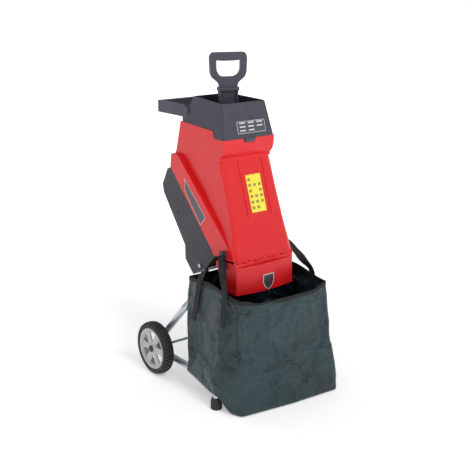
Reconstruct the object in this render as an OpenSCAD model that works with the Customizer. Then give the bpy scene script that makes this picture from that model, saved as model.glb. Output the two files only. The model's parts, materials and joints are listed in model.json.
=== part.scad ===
// Electric wood chipper: an impact shredder on two wheels with a cloth catch bag.
// Front is -Y, up is +Z, the ground is z = 0 and the machine is symmetric about x = 0.

/* [Wheels and frame] */
// Diameter of the road wheels
wheel_d = 178; // [150:1:200]
// Width of a tyre
tyre_w = 38; // [30:1:44]
// Width over the outer faces of the two wheels
track_w = 440; // [430:1:460]
// Outside diameter of the frame tube
tube_d = 22; // [19:0.5:24]
// Diameter of the axle rod
axle_d = 10; // [8:0.5:12]
// Height of a rubber foot
foot_h = 36; // [30:1:37]

/* [Body] */
// Half width of the cover at the hinge
body_hw = 117; // [114:0.5:122]
// Half width of the cover at the waist under the hopper
waist_hw = 98; // [94:0.5:100]
// Wall thickness of the moulded plastic parts
wall = 3; // [2.5:0.1:4]
// Height of the hopper rim at its front
rim_z = 913; // [900:1:930]

/* [Cutting unit] */
// Diameter of the blade disc
disc_d = 190; // [170:1:200]
// Diameter of the spindle
spindle_d = 17; // [14:1:20]
// Pitch diameter of the pulley on the spindle
big_pulley_d = 130; // [120:1:140]
// Pitch diameter of the pulley on the motor
small_pulley_d = 26; // [24:1:30]

/* [Bag] */
// Height of the rim of the bag
bag_rim_z = 374; // [360:1:380]
// Thickness of the bag cloth in this model
cloth = 2; // [1.5:0.1:2.5]

/* [Hidden] */
$fn = 64;
gap = 0.4;                       // air left between parts of different bodies
fit = 0.05;                      // radial clearance of a running fit
axle_y = 174;
axle_z = wheel_d / 2;
rail_x = 165;                    // tube centre line beside the bag
rail_z = 62;
foot_x = 200;
foot_y = -163;
stay_x = 88;                     // tube centre line where it enters the housing
stay_y = 41;
tube_wall = 1.5;
stay_z = 264;                    // where the stay turns inward
socket_z = 402;                  // top of the tube in the housing

// The split between the black housing and the red cover lies in a plane tilted
// 46 degrees. Its frame has +y up the slope and +z square to the plane.
slope_a = 46;
slope_y = 192;
slope_z = 690;
split_end = 341;                 // length of the split, measured down the slope
spindle_u = 235;                 // distance of the spindle down the slope
motor_u = 75;                    // distance of the motor down the slope
belt_n = -98;                    // underside of the belt
belt_w = 11;
hinge_y = -146;
hinge_z = 446;
hinge_r = 4.5;
pin_r = 2;
hinge_xs = [-78, -26, 26, 78];   // centres of the cover's hinge barrels
barrel_l = 24;
housing_hw = 109;
deck_t = 4;
disc_n = 25;
disc_t = 5;
disc_r = disc_d / 2;
knob_y = 229;
knob_z = 719;
knob_a = 90 - atan2(knob_y - hinge_y, knob_z - hinge_z);
throat_hw = 45;
plunger_y = 35;
plunger_a = -19;                 // the plunger stands turned a little in the throat
grip_top = 1058;
bag_y0 = -288;
bag_y1 = 18;

black = "#34343c";
slate = "#4b4f5c";
red = "#d82f34";
steel = "#b9bcc4";
rubber = "#25252a";
copper = "#b4652f";

// ---------- helpers ----------
function unit(v) = v / norm(v);

module on_slope() {
    translate([0, slope_y, slope_z]) rotate([slope_a, 0, 0]) children();
}

module on_spindle() {
    on_slope() translate([0, -spindle_u, 0]) children();
}

module on_motor() {
    on_slope() translate([0, -motor_u, 0]) children();
}

// Extrudes a (y, z) outline sideways, centred on x = 0.
module across(w) {
    rotate([90, 0, 90]) linear_extrude(w, center = true) children();
}

module pipe(a, b, r) {
    d = b - a;
    translate(a) rotate([0, acos(d.z / norm(d)), atan2(d.y, d.x)]) difference() {
        cylinder(h = norm(d), r = r);
        translate([0, 0, -1]) cylinder(h = norm(d) + 2, r = r - tube_wall);
    }
}

// Centre line values of one bend: how far it eats into each leg.
function bend_cut(a, b, c, r) = r / tan(acos(unit(a - b) * unit(c - b)) / 2);

module bend(a, b, c, bend_r, r) {
    u1 = unit(a - b);
    u2 = unit(c - b);
    half = acos(u1 * u2) / 2;
    centre = b + unit(u1 + u2) * bend_r / sin(half);
    ex = unit(b + u1 * bend_r / tan(half) - centre);
    ez = unit(cross(ex, b + u2 * bend_r / tan(half) - centre));
    ey = cross(ez, ex);
    multmatrix([[ex.x, ey.x, ez.x, centre.x], [ex.y, ey.y, ez.y, centre.y],
                [ex.z, ey.z, ez.z, centre.z], [0, 0, 0, 1]])
        rotate_extrude(angle = 180 - 2 * half) translate([bend_r, 0]) difference() {
            circle(r = r);
            circle(r = r - tube_wall);
        }
}

// A bent pipe along a list of points, with one bend radius for each inner point.
// A bend is a shade fuller than the straights that run a little way into it.
module bent_pipe(p, radii, r) {
    n = len(p);
    cut = [for (i = [0:n - 1])
        (i == 0 || i == n - 1) ? 0 : bend_cut(p[i - 1], p[i], p[i + 1], radii[i - 1])];
    for (i = [0:n - 2])
        pipe(p[i] + unit(p[i + 1] - p[i]) * (cut[i] - (i > 0 ? 1 : 0)),
             p[i + 1] - unit(p[i + 1] - p[i]) * (cut[i + 1] - (i < n - 2 ? 1 : 0)), r);
    for (i = [1:n - 2]) bend(p[i - 1], p[i], p[i + 1], radii[i - 1], r + 0.15);
}

module ring(od, id, h) {
    difference() {
        cylinder(h = h, d = od);
        translate([0, 0, -1]) cylinder(h = h + 2, d = id);
    }
}

// ---------- frame ----------
// Foot, lower rail, hairpin round the axle, stay, and up into the housing.
frame_path = [
    [-foot_x, foot_y, 12],
    [-foot_x, foot_y, 57],
    [-rail_x, 20, rail_z],
    [-rail_x, 239, rail_z],
    [-rail_x, stay_y + 4, stay_z],
    [-stay_x, stay_y, stay_z + 62],
    [-stay_x, stay_y, socket_z]];
frame_bends = [20, 60, 44, 34, 30];

module frame_tube() {
    color(steel) difference() {
        bent_pipe(frame_path, frame_bends, tube_d / 2);
        translate([-rail_x, axle_y, axle_z]) rotate([0, 90, 0])
            cylinder(h = 60, r = axle_d / 2 + fit, center = true);
    }
}

module axle() {
    color(steel) translate([0, axle_y, axle_z]) rotate([0, 90, 0])
        cylinder(h = track_w - 16, d = axle_d, center = true);
}

module foot(s) {
    color(rubber) translate([s * foot_x, foot_y, 0]) difference() {
        rotate_extrude()
            polygon([[0, 0], [17, 0], [18, 3], [18, foot_h - 12], [15, foot_h], [0, foot_h]]);
        translate([0, 0, 12]) cylinder(h = foot_h, r = tube_d / 2 + fit);
    }
}

// ---------- black motor housing ----------
// Side outline: each point is [distance down the slope, height above the split].
housing_line = [[0, 0], [-10, -26], [9, -86], [33, -101], [226, -124], [260, -155],
                [320, -154], [345, -60], [split_end, 0]];
housing_inner = [[4, 1], [-5, -26], [12.5, -83], [34, -97.5], [227.5, -120.5],
                 [261.5, -151.5], [317.5, -150.5], [341, -60], [split_end - 4, 1]];

// Where the screws of the cutter deck stand, across and along the slope.
deck_screw_at = [for (x = [-100, 100], y = [-20, -90, -160]) [x, y]];

module slope_prism(line, hw) {
    across(2 * hw) polygon([for (p = line) [-p[0], p[1]]]);
}

// The sockets for the frame tubes run straight up inside the housing.
module tube_socket(s, r, z0, z1) {
    translate([s * stay_x, stay_y, z0]) cylinder(h = z1 - z0, r = r);
}

module lock_boss(r, z0, z1) {
    translate([0, knob_y, knob_z]) rotate([knob_a, 0, 0]) translate([0, 0, z0])
        cylinder(h = z1 - z0, r = r);
}

module motor_housing() {
    color(black) difference() {
        union() {
            difference() {
                on_slope() slope_prism(housing_line, housing_hw);
                on_slope() slope_prism(housing_inner, housing_hw - 3.5);
            }
            intersection() {
                for (s = [-1, 1]) tube_socket(s, 15.5, 360, socket_z + 4);
                on_slope() slope_prism(housing_line, housing_hw);
            }
            lock_boss(13, -34, -14.5);
            on_slope() translate([-20, -2, -22]) cube([40, 62, 21]);
            // bosses for the screws of the cutter deck
            intersection() {
                on_slope() for (p = deck_screw_at) translate([p.x, p.y, -14])
                    cylinder(h = 13.9, r = 6.5);
                on_slope() slope_prism(housing_line, housing_hw);
            }
        }
        for (s = [-1, 1]) tube_socket(s, tube_d / 2 + 6 * fit, 340, socket_z);
        lock_boss(5, -30, 10);
        // clearance under the hand screw tab of the cover
        on_slope() translate([-30, -6, 0]) cube([60, 80, 20]);
        on_slope() for (p = deck_screw_at) translate([p.x, p.y, -11]) cylinder(h = 20, r = 2.6);
        for (s = [-1, 1]) translate([s * 104, stay_y, 392]) rotate([0, 90, 0])
            cylinder(h = 14, r = 2.6, center = true);
        // screw recesses in both sides
        for (s = [-1, 1], p = [[159, 543], [128, 497]]) translate([s * housing_hw, p.x, p.y])
            rotate([0, 90, 0]) cylinder(h = 3, r = 4, center = true);
        // cooling slots in the floor under the motor fan
        on_slope() for (i = [-3:3]) translate([i * 10 - 2, -205, -135]) cube([4, 50, 30]);
        // openings for the switch, the reset button and the inlet
        on_slope() translate([-26, -142, -125]) cube([52, 36, 30]);
        on_slope() translate([58, -124, -125]) cylinder(h = 30, r = 8);
        on_slope() translate([-74, -124, -125]) cylinder(h = 30, r = 19);
    }
}

// ---------- cutter deck and chute ----------
module cutter_deck() {
    color(steel) on_slope() difference() {
        union() {
            translate([-106, -split_end + 6, gap]) cube([212, split_end - 12, deck_t]);
            // low wall that keeps chips round the disc
            translate([0, -spindle_u, gap]) difference() {
                cylinder(h = 34, r = disc_r + 9);
                translate([0, 0, -1]) cylinder(h = 40, r = disc_r + 6);
                translate([-150, -300, -1]) cube([300, 232, 40]);
            }
        }
        translate([0, -spindle_u, -5]) cylinder(h = 20, r = 24);
        for (p = deck_screw_at) translate([p.x, p.y, -5]) cylinder(h = 20, r = 2.6);
        for (a = [45:90:315])
            translate([0, -spindle_u, -5]) rotate(a) translate([36, 0, 0]) cylinder(h = 20, r = 3.1);
    }
}

chute_line = [[-149, 441], [-150, 343], [-92, 343], [-84, 353], [-49, 424], [-47, 440]];
chute_inner = [[-146, 460], [-147, 330], [-95, 330], [-87, 355], [-56, 418], [-54, 460]];

module hinge_barrels(xs, len_, r) {
    for (x = xs) translate([x, hinge_y, hinge_z]) rotate([0, 90, 0])
        cylinder(h = len_, r = r, center = true);
}

function chute_barrel_xs() = [-102, -52, 0, 52, 102];

module discharge_chute() {
    crown_r = 497;
    color(red) difference() {
        union() {
            across(226) polygon(chute_line);
            // crowned front panel and the moulded band round the mouth
            intersection() {
                translate([0, crown_r - 163, 343]) cylinder(h = 88, r = crown_r, $fn = 128);
                translate([-111, -170, 343]) cube([222, 40, 88]);
            }
            translate([-114.5, -151.5, 343]) cube([229, 60, 13]);
            hinge_barrels(chute_barrel_xs(), barrel_l, hinge_r);
            for (x = chute_barrel_xs())
                translate([x - barrel_l / 2, hinge_y - 2.5, 436]) cube([barrel_l, 6, 8]);
        }
        across(220) polygon(chute_inner);
        hinge_barrels([0], 300, pin_r + fit);
        for (s = [-1, 1]) translate([s * 113, -98, 430]) rotate([0, 90, 0])
            cylinder(h = 12, r = 1.6, center = true);
    }
}

module lower_badge() {
    color("#e8e6df") intersection() {
        translate([0, 334, 344]) difference() {
            cylinder(h = 54, r = 499, $fn = 128);
            translate([0, 0, -1]) cylinder(h = 56, r = 497 + fit, $fn = 128);
        }
        translate([0, -150, 0]) rotate([90, 0, 0]) linear_extrude(30)
            polygon([[-17, 396], [25, 396], [26, 372], [18, 355], [4, 345], [-10, 355], [-18, 372]]);
    }
}

module bag_hook(s) {
    translate([s * 113.2, -98, 0]) mirror([s > 0 ? 0 : 1, 0, 0]) {
        difference() {
            translate([0, -7, 418]) cube([9, 14, 20]);
            translate([-1, 0, 430]) rotate([0, 90, 0]) cylinder(h = 12, r = 1.6);
        }
        translate([5, -7, 414]) cube([4, 14, 4.5]);
        translate([5, -7, 437.5]) cube([4, 14, 38.5]);
        translate([5, -7, 472]) cube([14, 14, 4]);
        translate([16, -7, 458]) cube([3, 14, 18]);
    }
}

module bag_hooks() {
    color(black) for (s = [-1, 1]) bag_hook(s);
}

// A socket head screw: its head stands on z = 0 and its shank goes up.
module screw(d, head_d, len_) {
    translate([0, 0, -0.6]) cylinder(h = len_ + 0.6, d = d);
    translate([0, 0, -head_d / 3]) difference() {
        cylinder(h = head_d / 3, d = head_d);
        translate([0, 0, -1]) cylinder(h = 2, d = head_d / 2, $fn = 6);
    }
}

// The set screws that hold the frame tubes, and the screws of the bag hooks.
module housing_screws() {
    color(steel) for (s = [-1, 1]) {
        translate([s * (housing_hw + 0.2), stay_y, 392]) rotate([0, -s * 90, 0])
            screw(5, 12, 9.8);
        translate([s * 122.4, -98, 430]) rotate([0, -s * 90, 0]) screw(3, 7, 14);
    }
}

module deck_screws() {
    color(steel) on_slope() {
        for (p = deck_screw_at) translate([p.x, p.y, deck_t + gap]) mirror([0, 0, 1]) screw(5, 10, 14);
        for (a = [45:90:315]) translate([0, -spindle_u, deck_t + gap]) rotate(a)
            translate([36, 0, 0]) mirror([0, 0, 1]) screw(6, 10, 14);
    }
}

module hinge_pins() {
    color(steel) hinge_barrels([-78, 78], 74, pin_r);
}

// ---------- motor ----------
motor_top = -6;
motor_len = 70;

module stator() {
    color("#8a8c92") on_motor() translate([0, 0, motor_top - motor_len + 12]) difference() {
        cylinder(h = 46, r = 47);
        translate([0, 0, -1]) cylinder(h = 48, r = 30.6);
        for (s = [-1, 1]) translate([s * 54, 0, 20]) cube([20, 60, 60], center = true);
    }
    color(copper) on_motor() for (s = [-1, 1]) translate([0, s * 38, motor_top - 11.8])
        intersection() {
            translate([-22, -7, 0]) cube([44, 14, 8]);
            translate([0, -s * 38, 0]) ring(92, 62, 8);
        }
}

module motor_end_bell() {
    color("#5c5f66") on_motor() difference() {
        translate([0, 0, motor_top - motor_len]) cylinder(h = 11.6, r = 49);
        translate([0, 0, motor_top - motor_len + 3]) cylinder(h = 20, r = 44);
        translate([0, 0, motor_top - motor_len - 1]) cylinder(h = 20, r = 11 + fit);
    }
}

module carbon_brushes() {
    color("#2b2b2b") on_motor() for (s = [-1, 1]) translate([s * 26.4, 0, -13.8])
        cube([18, 8, 8], center = true);
}

module motor_bearings() {
    color(steel) on_motor() {
        translate([0, 0, motor_top - motor_len]) ring(22, 8 + 2 * fit, 7);
        translate([0, 0, -7.2]) ring(22, 8 + 2 * fit, 7);
    }
}

module motor_shaft() {
    color(steel) on_motor() translate([0, 0, -100]) cylinder(h = 99.5, d = 8);
}

module armature() {
    color(copper) on_motor() translate([0, 0, motor_top - motor_len + 16]) {
        ring(60, 8 + 2 * fit, 34);
    }
}

module commutator() {
    color(copper) on_motor() translate([0, 0, -19]) ring(34, 8 + 2 * fit, 10);
}

module cooling_fan() {
    color(slate) on_motor() translate([0, 0, motor_top - motor_len + 7.4]) {
        ring(24, 8 + 2 * fit, 8);
        for (a = [0:45:315]) rotate(a) translate([10, -1, 0]) cube([31, 2, 4]);
    }
}

// ---------- belt drive and spindle ----------
module flanged_pulley(d, bore) {
    difference() {
        union() {
            translate([0, 0, belt_n]) cylinder(h = belt_w + 2, d = d);
            translate([0, 0, belt_n - 1.5]) cylinder(h = 1.5, d = d + 6);
            translate([0, 0, belt_n + belt_w + 1]) cylinder(h = 1.5, d = d + 6);
        }
        translate([0, 0, belt_n - 5]) cylinder(h = belt_w + 20, d = bore + 2 * fit);
    }
}

module motor_pulley() {
    color(steel) on_motor() flanged_pulley(small_pulley_d, 8);
}

module drive_pulley() {
    color("#9a9ca2") on_spindle() difference() {
        flanged_pulley(big_pulley_d, spindle_d);
        for (a = [30:60:330]) rotate(a) translate([38, 0, belt_n - 10])
            cylinder(h = belt_w + 30, r = 12);
    }
}

module belt_outline(grow) {
    hull() {
        translate([0, -motor_u]) circle(d = small_pulley_d + grow);
        translate([0, -spindle_u]) circle(d = big_pulley_d + grow);
    }
}

module drive_belt() {
    color(rubber) on_slope() translate([0, 0, belt_n + 0.6]) linear_extrude(belt_w - 0.6)
        difference() {
            belt_outline(5);
            belt_outline(2 * gap);
        }
}

module bearing_housing() {
    color("#8d9097") on_spindle() difference() {
        union() {
            translate([0, 0, -62]) cylinder(h = 62, r = 28);
            translate([0, 0, -8]) cylinder(h = 8, r = 44);
            for (a = [0:60:300]) rotate(a) translate([20, -2.5, -40]) cube([22, 5, 34]);
        }
        translate([0, 0, -70]) cylinder(h = 90, r = 15);
        translate([0, 0, -63]) cylinder(h = 15, r = 20);
        translate([0, 0, -12]) cylinder(h = 15, r = 20);
        for (a = [45:90:315]) rotate(a) translate([36, 0, -20]) cylinder(h = 40, r = 3.1);
    }
}

module spindle_bearings() {
    color(steel) on_spindle() for (z = [-62, -12]) translate([0, 0, z])
        ring(40, spindle_d + 2 * fit, 12);
}

module spindle() {
    color(steel) on_spindle() {
        translate([0, 0, -106]) cylinder(h = 106 + disc_n + disc_t + 12, d = spindle_d);
        translate([0, 0, 6]) cylinder(h = disc_n - 6, r = 22);
    }
}

module spindle_nut() {
    color(steel) on_spindle() translate([0, 0, disc_n + disc_t]) difference() {
        cylinder(h = 9, d = 27, $fn = 6);
        translate([0, 0, -1]) cylinder(h = 12, d = spindle_d + 2 * fit);
    }
}

module blade_disc() {
    color("#9ea1a8") on_spindle() difference() {
        translate([0, 0, disc_n]) cylinder(h = disc_t, r = disc_r, $fn = 128);
        translate([0, 0, disc_n - 1]) cylinder(h = disc_t + 2, d = spindle_d + 2 * fit);
        for (a = [0, 180]) rotate(a) {
            translate([34, 17, disc_n - 1]) cube([48, 12, disc_t + 2]);
            for (x = [44, 70]) translate([x, 4, disc_n - 1]) cylinder(h = disc_t + 2, r = 3.1);
        }
    }
}

module chipper_blades() {
    color(steel) on_spindle() for (a = [0, 180]) rotate(a)
        translate([0, 0, disc_n + disc_t]) difference() {
            rotate([90, 0, 90]) translate([0, 0, 32]) linear_extrude(52)
                polygon([[-8, 0], [20, 0], [14, 3], [-8, 3]]);
            for (x = [44, 70]) translate([x, 4, -1]) cylinder(h = 6, r = 3.1);
        }
}

module blade_screws() {
    color(black) on_spindle() for (a = [0, 180], x = [44, 70]) rotate(a)
        translate([x, 4, disc_n + disc_t + 3]) mirror([0, 0, 1]) screw(6, 11, 8);
}

// ---------- electrical pieces ----------
module switch_body() {
    color(black) on_slope() difference() {
        translate([-25.6, -141.6, -117]) cube([51.2, 35.2, 19]);
        translate([-23, -139, -125]) cube([46, 30, 26]);
    }
}

rocker_y = -124;
rocker_n = -110;

module power_rocker() {
    color("#2f8a3c") on_slope() translate([0, rocker_y, rocker_n]) {
        translate([-19, 0, 0]) rotate([0, 90, 0]) cylinder(h = 38, r = 4);
        difference() {
            translate([-19, -11, -8]) cube([38, 22, 10]);
            translate([-25, -14, -16]) rotate([12, 0, 0]) translate([0, 0, -1]) cube([60, 20, 8]);
        }
    }
}

module reset_button() {
    color("#c8342c") on_slope() translate([58, -124, 0]) {
        translate([0, 0, -121]) cylinder(h = 16, r = 6);
        translate([0, 0, -106.6]) cylinder(h = 2.6, r = 9);
    }
}

module safety_switch() {
    color("#3a3a3a") on_slope() {
        translate([24, -24, -30]) cube([20, 12, 24]);
        translate([33, -18, -6]) cylinder(h = 5, r = 2);
    }
}

module run_capacitor() {
    color("#d9d7cf") on_slope() translate([-80, -60, -82]) cylinder(h = 62, r = 16);
}

module power_inlet() {
    color(black) on_slope() translate([-74, -124, 0]) {
        difference() {
            translate([0, 0, -126]) cylinder(h = 34, r = 18.6);
            translate([0, 0, -130]) cylinder(h = 30, r = 15);
        }
        translate([0, 0, -102]) linear_extrude(3) difference() {
            circle(r = 26);
            circle(r = 18.6);
        }
    }
    color(steel) on_slope() for (x = [-79, -74, -69])
        translate([x, x == -74 ? -118 : -127, -120]) cylinder(h = 22, r = 1.6);
}

// ---------- red cover ----------
waist_z = 750;
waist_y = -51;
crease_y = -149;
crease_z = 450;
cover_line = [[crease_y, crease_z], [waist_y, waist_z], [-58, 757], [-66, 768], [-70.5, 784],
              [-71.5, 808], [-23, 808], [-14, 831], [154, 841], [180, 744], [186, 734],
              [192, 691], [-46, 445]];
cover_inner = [[crease_y + 1, crease_z - 30], [crease_y + 3.3, crease_z], [waist_y + 3, waist_z],
               [-56, 759], [-63, 770], [-67.5, 785], [-68.5, 805], [-25.5, 805], [-16, 828],
               [151, 838], [177, 742], [183, 733],
               [188.7, 692], [188.7, 660], [-44, 420]];
band_line = [[192, 691], [186, 734], [149, 734], [-122, 479], [-134, 448], [-46, 445]];
band_inner = [[188.7, 640], [188.7, 692], [183, 731], [150.5, 731], [-119.5, 476],
              [-131, 450], [-131, 400], [-46, 400]];

// Front outline of the cover, as half widths and their heights: it widens toward the hinge.
cover_hw = [body_hw, body_hw, body_hw - 14, waist_hw + 1, waist_hw];
cover_hz = [400, 452, 545, 640, 900];

module cover_front(inset) {
    rotate([90, 0, 0]) linear_extrude(600, center = true) polygon([
        for (s = [1, -1]) each [for (p = s > 0 ? [0, 1, 2, 3, 4] : [4, 3, 2, 1, 0])
            [s * (cover_hw[p] - inset), cover_hz[p]]]]);
}

// The front corners are cut back in a flat strip, from just below the waist to the hinge.
module cover_solid(line, inset) {
    difference() {
        intersection() {
            across(300) polygon(line);
            cover_front(inset);
        }
        for (s = [0, 1]) mirror([s, 0, 0]) on_front_face(waist_z) translate([84, 0, 0])
            rotate([0, -1.7, -59]) translate([-inset, -150, -400]) cube([60, 300, 392 + inset]);
    }
}

module upper_cover() {
    color(red) difference() {
        union() {
            difference() {
                union() {
                    cover_solid(cover_line, 0);
                    across(2 * body_hw - 4) polygon(band_line);
                }
                cover_solid(cover_inner, wall);
                across(2 * (body_hw - 2 - wall)) polygon(band_inner);
                translate([-200, -200, 400]) cube([400, 154, hinge_z + 2.5 - 400]);
            }
            hinge_barrels(hinge_xs, barrel_l, hinge_r);
            for (x = hinge_xs)
                translate([x - barrel_l / 2, hinge_y - 2.5, hinge_z]) cube([barrel_l, 5.5, 9]);
            on_slope() translate([-24, -4, gap]) cube([48, 66, 12]);
            // ribs of the recessed panel on the front face
            for (x = [-32, 60]) on_front_face(waist_z)
                translate([x - 2, -2, -190]) cube([4, 3, 176]);
        }
        hinge_barrels([0], 300, pin_r + fit);
        for (x = chute_barrel_xs()) translate([x, hinge_y, hinge_z]) rotate([0, 90, 0])
            cylinder(h = barrel_l + 2 * gap, r = hinge_r + gap, center = true);
        lock_boss(4.4, -40, 40);
        // the throat passes through the top
        translate([-throat_hw - 1, -45, 790]) cube([2 * throat_hw + 2, 144, 70]);
        for (p = cover_screw_at) screw_hole(p);
    }
}

// ---------- hopper ----------
module hopper_block(inset, top, bottom) {
    hull() {
        for (s = [-1, 1]) {
            translate([s * (84 - 10), -46.5 + 10, rim_z + top]) cylinder(h = 0.1, r = 10 - inset);
            translate([s * (70 - 10), 125.5 - 10, rim_z + 7 + top]) cylinder(h = 0.1, r = 10 - inset);
            translate([s * (waist_hw - 10), -74 + 10, 808 + bottom]) cylinder(h = 0.1, r = 10 - inset);
            translate([s * (102 - 10), 163.5 - 10, 815 + bottom]) cylinder(h = 0.1, r = 10 - inset);
        }
    }
}

// Everything under the stepped top of the cover, raised by a given amount.
module under_cover_top(lift) {
    across(400) polygon([[-120, 700], [-120, 808 + lift], [-23, 808 + lift], [-14, 831 + lift],
                         [154, 841 + lift], [190, 843 + lift], [190, 700]]);
}

module carry_handle() {
    for (s = [-1, 1]) {
        hull() {
            translate([s * 84, 132, 850]) cube([12, 10, 60], center = true);
            translate([s * 84, 150, 868]) cube([12, 10, 46], center = true);
        }
        translate([s * 84 - 6, 150, 854]) cube([12, 126, 38]);
    }
    translate([-90, 272, 854]) cube([180, 22, 38]);
}

// The screws that hold the hopper's floor to the cover: place, and height of the floor.
cover_screw_at = [for (x = [-74, 74], y = [20, 120]) [x, y, 831.1 + (y + 14) / 16.8 + gap + wall]];

module screw_hole(p) {
    translate(p) rotate([3.4, 0, 0]) cylinder(h = 40, r = 2.8, center = true);
}

// The small catch in the middle of the hopper's front edge.
module front_catch() {
    hull() {
        translate([0, -74.6, 806]) cube([40, 5, 6], center = true);
        translate([0, -73.5, 798]) cube([34, 3, 4], center = true);
    }
}

module hopper() {
    $fn = 24;
    color(slate) {
        hopper_body();
        front_catch();
    }
}

module hopper_body() {
    difference() {
        union() {
            hopper_block(0, 0, 0);
            carry_handle();
        }
        under_cover_top(gap);
        difference() {
            hopper_block(3, 1, 0);
            under_cover_top(gap + wall);
        }
        // opening down into the throat
        translate([-throat_hw - 0.5, -44.5, 780]) cube([2 * throat_hw + 1, 143, 80]);
        for (p = cover_screw_at) screw_hole(p);
        translate([15, -58.5, 867]) rotate([75.3, 0, 0]) cylinder(h = 2.4, r = 3, center = true);
    }
}

throat_line = [[-44, 826], [-41, 800], [9.2, 559.8], [64.2, 616.8], [96, 800], [98, 842]];

module feed_throat() {
    color(slate) difference() {
        across(2 * throat_hw) polygon(throat_line);
        across(2 * throat_hw - 4) polygon([[-42, 850], [-38.5, 800], [15, 545], [66, 590],
                                           [93.5, 800], [96, 850]]);
    }
}

module on_front_face(z) {
    translate([0, waist_y, waist_z]) rotate([-18.1, 0, 0]) translate([0, 0, z - waist_z]) children();
}

module front_label() {
    color("#f2e05a") on_front_face(750) translate([-16, -0.9, -178]) cube([58, 0.8, 118]);
}

module side_plates() {
    color(black) for (s = [-1, 1]) translate([s * (body_hw - 1.4), 0, 0])
        across(1) polygon([[112, 664], [111, 626], [27, 530], [1, 560]]);
}

module rating_label() {
    color("#5b5f6c") translate([0, -60, 852]) rotate([-14.7, 0, 0])
        translate([-43, -3.4, -31]) cube([108, 0.8, 37]);
}

module cover_screws() {
    color(steel) for (p = cover_screw_at)
        translate(p) rotate([3.4, 0, 0]) mirror([0, 0, 1]) screw(5, 10, 12);
}

// ---------- lock knob ----------
module on_knob() {
    translate([0, knob_y, knob_z]) rotate([knob_a, 0, 0]) children();
}

module lock_knob() {
    color(black) on_knob() difference() {
        union() {
            translate([0, 0, 21]) cylinder(h = 5, r = 8);
            translate([0, 0, 24.5]) cylinder(h = 11.5, r = 20);
            for (a = [0:60:300]) rotate(a) translate([18.5, 0, 24.5]) cylinder(h = 11.5, r = 6.5);
        }
        translate([0, 0, 10]) cylinder(h = 21, r = 4 + fit);
    }
}

module lock_shank() {
    color(steel) on_knob() translate([0, 0, -24]) cylinder(h = 54.9, r = 4);
}

// ---------- plunger ----------
module on_plunger() {
    translate([0, plunger_y, 0]) rotate([0, 0, plunger_a]) children();
}

module plunger_grip() {
    color(slate) on_plunger() {
        difference() {
            rotate([90, 0, 0]) linear_extrude(22, center = true) difference() {
                polygon([[-57, 1052], [-50, grip_top], [50, grip_top], [57, 1052], [60, 1040],
                         [58, 996], [52, 982], [32, 966], [27, 952], [-27, 952], [-32, 966],
                         [-52, 982], [-58, 996], [-60, 1040]]);
                polygon([[-40, 1034], [-20, 1032], [20, 1032], [40, 1034], [39, 1004],
                         [31, 990], [18, 984], [-18, 984], [-31, 990], [-39, 1004]]);
            }
        }
        translate([0, 0, 940]) linear_extrude(13) square([66, 30], center = true);
    }
}

// A ribbed blade whose flange comes to rest on the top of the throat.
module plunger_shaft() {
    color(slate) on_plunger() {
        translate([0, 0, 690]) linear_extrude(249.9) difference() {
            square([60, 24], center = true);
            for (s = [-1, 1]) translate([0, s * 9]) square([48, 10], center = true);
        }
        translate([0, 0, 839]) linear_extrude(6) square([100, 30], center = true);
    }
}

module plunger_foot() {
    color(slate) on_plunger() translate([0, 0, 668]) linear_extrude(21.9)
        square([64, 28], center = true);
}

// ---------- wheels ----------
wheel_x = track_w / 2 - tyre_w / 2;
rim_r = wheel_d / 2 - 20;

module on_wheel(s) {
    translate([s * wheel_x, axle_y, axle_z]) rotate([0, s * 90, 0]) children();
}

module tyre(s) {
    r = wheel_d / 2;
    h = tyre_w / 2;
    color(rubber) on_wheel(s) rotate_extrude($fn = 128)
        polygon([[rim_r + fit, -h + 3], [rim_r + 4, -h], [r - 8, -h], [r - 2, -h + 5], [r, -h + 10],
                 [r, h - 10], [r - 2, h - 5], [r - 8, h], [rim_r + 4, h], [rim_r + fit, h - 3]]);
}

module rim(s) {
    h = tyre_w / 2;
    color("#c9c9c4") on_wheel(s) difference() {
        rotate_extrude($fn = 96) polygon([
            [axle_d / 2 + fit, -h], [16, -h], [16, h - 12], [rim_r - 6, h - 12],
            [rim_r - 6, -h + 6], [rim_r, -h + 6], [rim_r, h - 2], [rim_r - 5, h - 2],
            [rim_r - 9, h - 7], [18, h - 7], [15, h - 3], [axle_d / 2 + fit, h - 3]]);
        for (a = [0:60:300]) rotate(a) translate([0, 0, -30]) linear_extrude(70)
            polygon([[26, -5], [56, -17], [58, 0], [56, 17], [26, 5]]);
    }
}

module hub_cap(s) {
    color(black) on_wheel(s) translate([0, 0, tyre_w / 2 - 8 + gap]) difference() {
        union() {
            translate([0, 0, 5]) cylinder(h = 3, r = 11);
            translate([0, 0, 7]) cylinder(h = 3, r1 = 10, r2 = 6);
        }
        translate([0, 0, -1]) cylinder(h = 7, r = axle_d / 2 + fit);
    }
}

// ---------- bag ----------
// The cloth stands outside the frame rails and comes down to the floor at the front.
module bag_block(inset) {
    hull() {
        for (s = [-1, 1]) {
            translate([s * (168 - inset), bag_y1 - inset, bag_rim_z]) sphere(r = 0.5, $fn = 8);
            translate([s * (162 - inset), -250 + inset, bag_rim_z - 8]) sphere(r = 0.5, $fn = 8);
            translate([s * (183 - inset), bag_y1 - inset, 60 + inset]) sphere(r = 0.5, $fn = 8);
            translate([s * (216 - inset), foot_y - 20, 60 + inset]) sphere(r = 0.5, $fn = 8);
            translate([s * (186 - inset), bag_y0 + inset, 3.5 + inset]) sphere(r = 0.5, $fn = 8);
            translate([s * (178 - inset), -205, 3.5 + inset]) sphere(r = 0.5, $fn = 8);
        }
    }
}

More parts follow.
